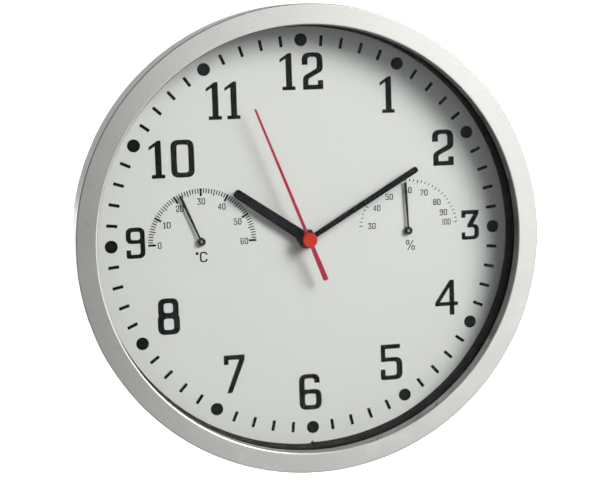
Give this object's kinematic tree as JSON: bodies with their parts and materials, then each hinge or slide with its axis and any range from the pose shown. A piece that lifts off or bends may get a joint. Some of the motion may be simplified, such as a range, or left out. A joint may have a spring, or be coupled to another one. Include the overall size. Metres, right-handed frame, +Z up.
{
  "type": "wall clock",
  "caption": "Round quartz wall clock with silver bezel, light dial, black hands, red sweep hand, and thermometer and hygrometer pointers set in the dial.",
  "frame": {"origin": "centre of the keyhole's round hole, on the wall plane at the back of the case", "axes": "+Y towards the wall, -Y towards the viewer, +Z up to the twelve, +X to the three"},
  "size_m": [0.25, 0.0406, 0.25],
  "materials": {
    "silver_lacquer": "silver lacquer on moulded plastic",
    "clear_glass": "clear, polished",
    "black_plastic": "satin",
    "dial_card": "matte print",
    "case_black": "fine moulded grain",
    "movement_black": "satin",
    "motor_grey": "satin",
    "washer_rubber": "matte",
    "brass": "turned",
    "steel": "bright",
    "gear_white": "satin",
    "cell_jacket": "plain printed jacket",
    "hand_black": "satin black paint",
    "hand_red": "satin red paint",
    "cap_red": "glossy",
    "sensor_steel": "pressed sheet",
    "bimetal": "rolled strip",
    "humidity_strip": "coated strip",
    "pointer_black": "matte black paint"
  },
  "bodies": {
    "case": {"front_bezel": "silver_lacquer", "glass": "clear_glass", "spacer_ring": "black_plastic", "dial_plate": "dial_card", "rear_case": "case_black", "movement_case": "movement_black", "movement_cover": "movement_black", "motor_block": "motor_grey", "rubber_washer": "washer_rubber", "movement_nut": "black_plastic", "battery_contact_positive": "steel", "battery_contact_negative": "steel", "thermo_plate": "sensor_steel", "thermo_coil": "bimetal", "hygro_plate": "sensor_steel", "hygro_coil": "humidity_strip"},
    "second_hand": {"second_arbor": "steel", "second_hand_blade": "hand_red", "second_hand_cap": "cap_red"},
    "minute_hand": {"minute_pipe": "brass", "minute_hand": "hand_black"},
    "minute_wheel": {"minute_wheel": "gear_white"},
    "hour_hand": {"hour_wheel": "gear_white", "hour_hand": "hand_black"},
    "setting_knob": {"setting_knob": "black_plastic"},
    "battery": {"battery_cell": "cell_jacket"},
    "thermometer_pointer": {"thermo_arbor": "steel", "thermo_pointer": "pointer_black"},
    "hygrometer_pointer": {"hygro_arbor": "steel", "hygro_pointer": "pointer_black"}
  },
  "joints": [
    {"name": "minute_hand_turn", "type": "hinge", "parent": "case", "child": "minute_hand", "pos_m": [0, -0.02, -0.0842], "axis": [0, 1, 0], "continuous": true},
    {"name": "hour_hand_turn", "type": "hinge", "parent": "case", "child": "hour_hand", "pos_m": [0, -0.02, -0.0842], "axis": [0, 1, 0], "continuous": true},
    {"name": "minute_wheel_turn", "type": "hinge", "parent": "case", "child": "minute_wheel", "pos_m": [-0.0096, -0.014, -0.0842], "axis": [0, 1, 0], "continuous": true},
    {"name": "setting_knob_turn", "type": "hinge", "parent": "case", "child": "setting_knob", "pos_m": [-0.01746, -0.01, -0.07869], "axis": [0, 1, 0], "continuous": true},
    {"name": "second_hand_turn", "type": "hinge", "parent": "case", "child": "second_hand", "pos_m": [0, -0.02, -0.0842], "axis": [0, 1, 0], "continuous": true},
    {"name": "thermometer_pointer_turn", "type": "hinge", "parent": "case", "child": "thermometer_pointer", "pos_m": [-0.0569, -0.02, -0.0829], "axis": [0, 1, 0], "range_deg": [-67.2, 112.8], "stiffness_Nm_per_rad": 0.0005, "deforming": ["thermo_coil"]},
    {"name": "hygrometer_pointer_turn", "type": "hinge", "parent": "case", "child": "hygrometer_pointer", "pos_m": [0.0569, -0.02, -0.0829], "axis": [0, 1, 0], "range_deg": [-81.3, 84.7], "stiffness_Nm_per_rad": 0.0005, "deforming": ["hygro_coil"]},
    {"name": "battery_removal", "type": "slide", "parent": "case", "child": "battery", "axis": [0, 1, 0], "range_m": [0, 0.02]}
  ],
  "couplings": [
    {"joint": "hour_hand_turn", "follows": "minute_hand_turn", "ratio": 0.083333},
    {"joint": "minute_wheel_turn", "follows": "minute_hand_turn", "ratio": -0.33333},
    {"joint": "setting_knob_turn", "follows": "minute_hand_turn", "ratio": 1}
  ]
}
